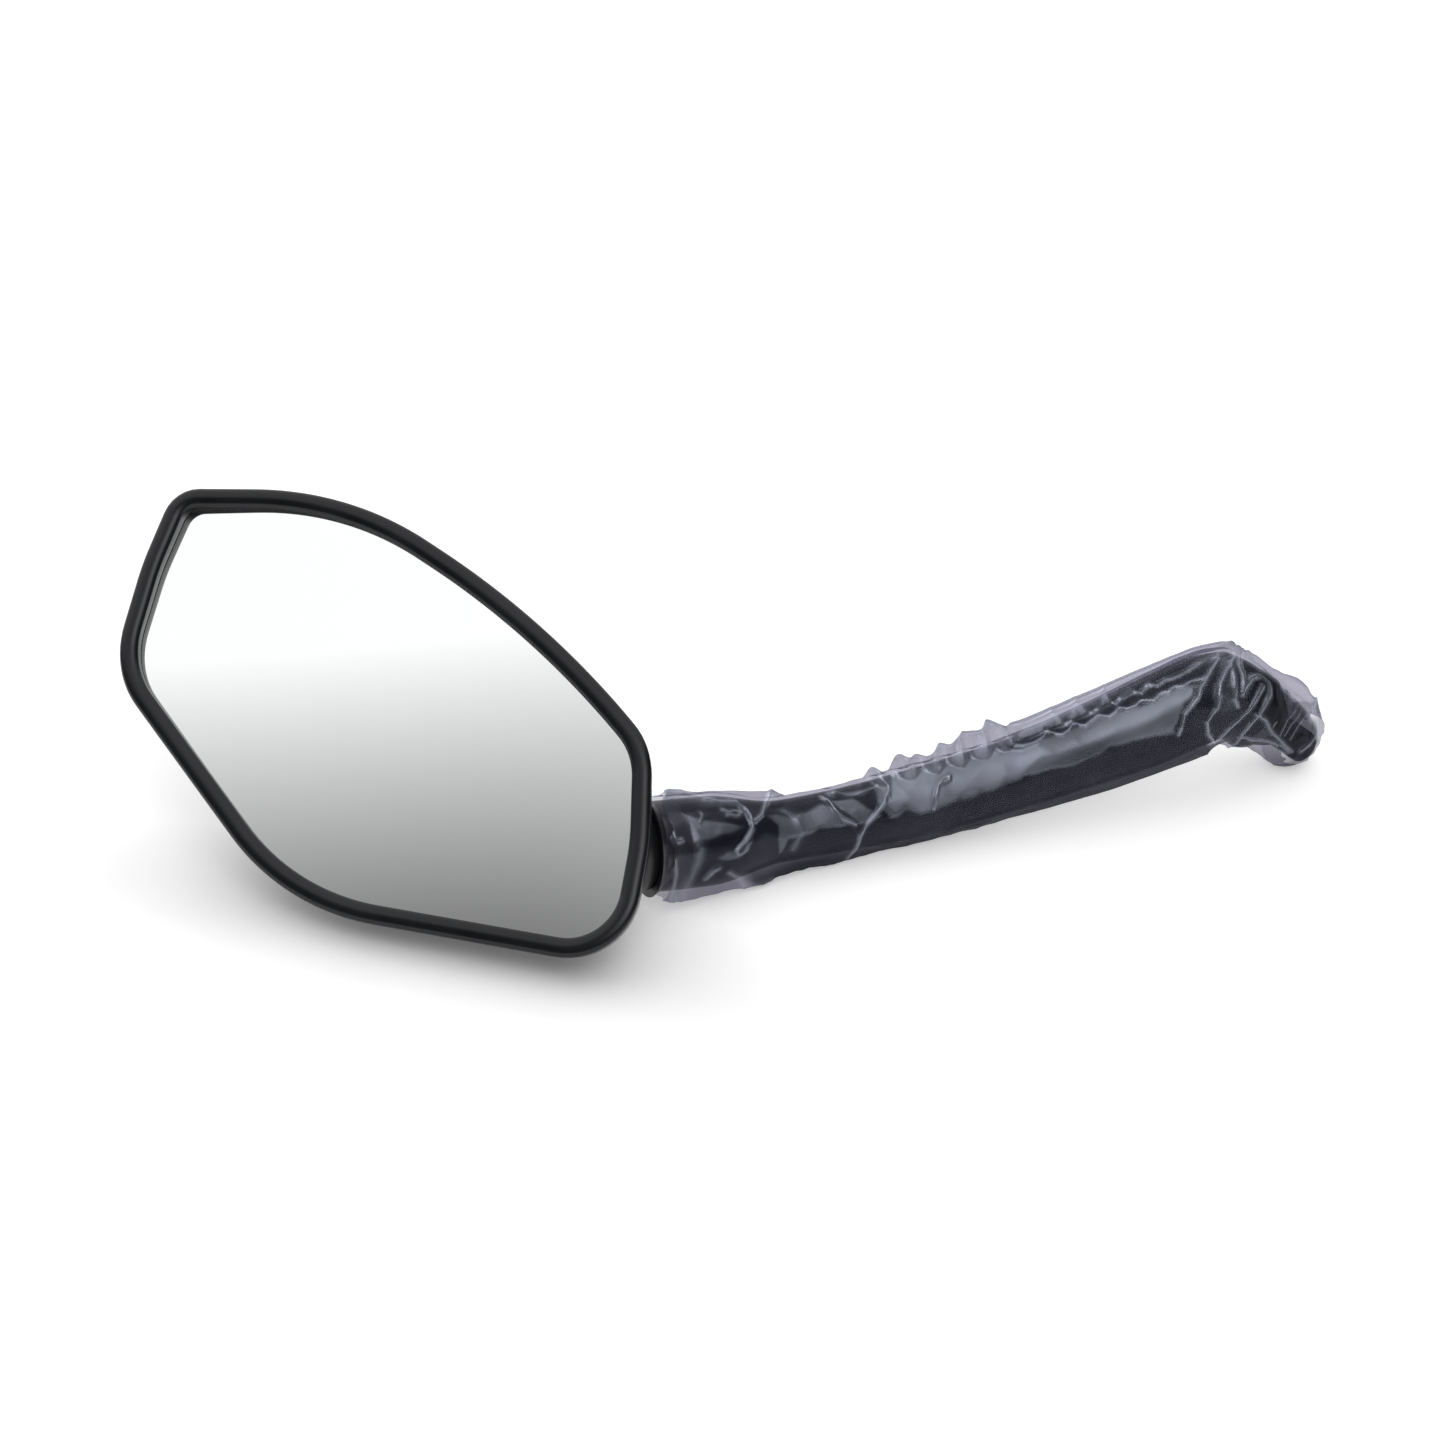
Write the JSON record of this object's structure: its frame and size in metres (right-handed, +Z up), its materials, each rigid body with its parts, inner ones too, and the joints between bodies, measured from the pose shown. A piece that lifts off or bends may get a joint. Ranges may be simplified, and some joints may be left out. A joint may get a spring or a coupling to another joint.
{
  "type": "motorcycle mirror",
  "caption": "Six-sided convex mirror head on a ball joint, with a bowed black arm in clear film and a threaded steel foot with its lock nut.",
  "frame": {"origin": "on the foot stud's axis, midway along its free thread", "axes": "+X from the head to the foot along the mirror's length, +Z up with the mirror lying on its back, -Y to the side that the glass leans to"},
  "size_m": [0.3373, 0.124, 0.0881],
  "materials": {
    "head_plastic": "textured black",
    "rim_plastic": "satin black",
    "mirror": "first-surface chrome on convex glass",
    "foam": "closed-cell foam",
    "pressed_steel": "zinc plated",
    "screws": "zinc plated",
    "spring_steel": "bare spring steel",
    "nylon": "natural nylon",
    "ball_steel": "bright",
    "skirt_plastic": "satin black",
    "rod_steel": "black oxide",
    "arm_plastic": "gloss black",
    "bush_rubber": "moulded rubber",
    "collar_steel": "black paint",
    "zinc_steel": "zinc plated",
    "film": "clear protective film, creased"
  },
  "bodies": {
    "arm": {"ball_stud": "ball_steel", "neck_skirt": "skirt_plastic", "stem_rod": "rod_steel", "arm_front_shell": "arm_plastic", "arm_rear_shell": "arm_plastic", "arm_screws": "screws", "neck_bush": "bush_rubber", "mid_bush": "bush_rubber", "foot_bush": "bush_rubber", "foot_collar": "collar_steel", "film_sleeve": "film"},
    "seat_roll": {"seat_ring": "nylon"},
    "seat_nod": {"seat_cup": "nylon"},
    "head": {"head_shell": "head_plastic", "rim_bezel": "rim_plastic", "mirror_glass": "mirror", "glass_pad": "foam", "socket_clamp": "pressed_steel", "clamp_screws": "screws", "clamp_springs": "spring_steel"},
    "washer": {"foot_washer": "zinc_steel"},
    "nut": {"lock_nut": "zinc_steel"}
  },
  "joints": [
    {"name": "head_roll", "type": "hinge", "parent": "arm", "child": "seat_roll", "pos_m": [-0.19038, -0.07499, 0.00805], "axis": [0.9241, 0.364, -0.1167], "range_deg": [-45, 45]},
    {"name": "head_nod", "type": "hinge", "parent": "seat_roll", "child": "seat_nod", "pos_m": [-0.19038, -0.07499, 0.00805], "axis": [0.215, -0.7473, -0.6287], "range_deg": [-12, 12]},
    {"name": "head_swing", "type": "hinge", "parent": "seat_nod", "child": "head", "pos_m": [-0.19038, -0.07499, 0.00805], "axis": [-0.316, 0.5559, -0.7688], "range_deg": [-12, 12]},
    {"name": "washer_slide", "type": "slide", "parent": "arm", "child": "washer", "axis": [0.7075, 0.2787, -0.6494], "range_m": [0, 0.0075]},
    {"name": "nut_turn", "type": "hinge", "parent": "washer", "child": "nut", "pos_m": [0, 0, 0], "axis": [0.7075, 0.2787, -0.6494], "range_deg": [0, 2160]}
  ],
  "couplings": [
    {"joint": "washer_slide", "follows": "nut_turn", "m_per_rad": 0.00019894}
  ]
}
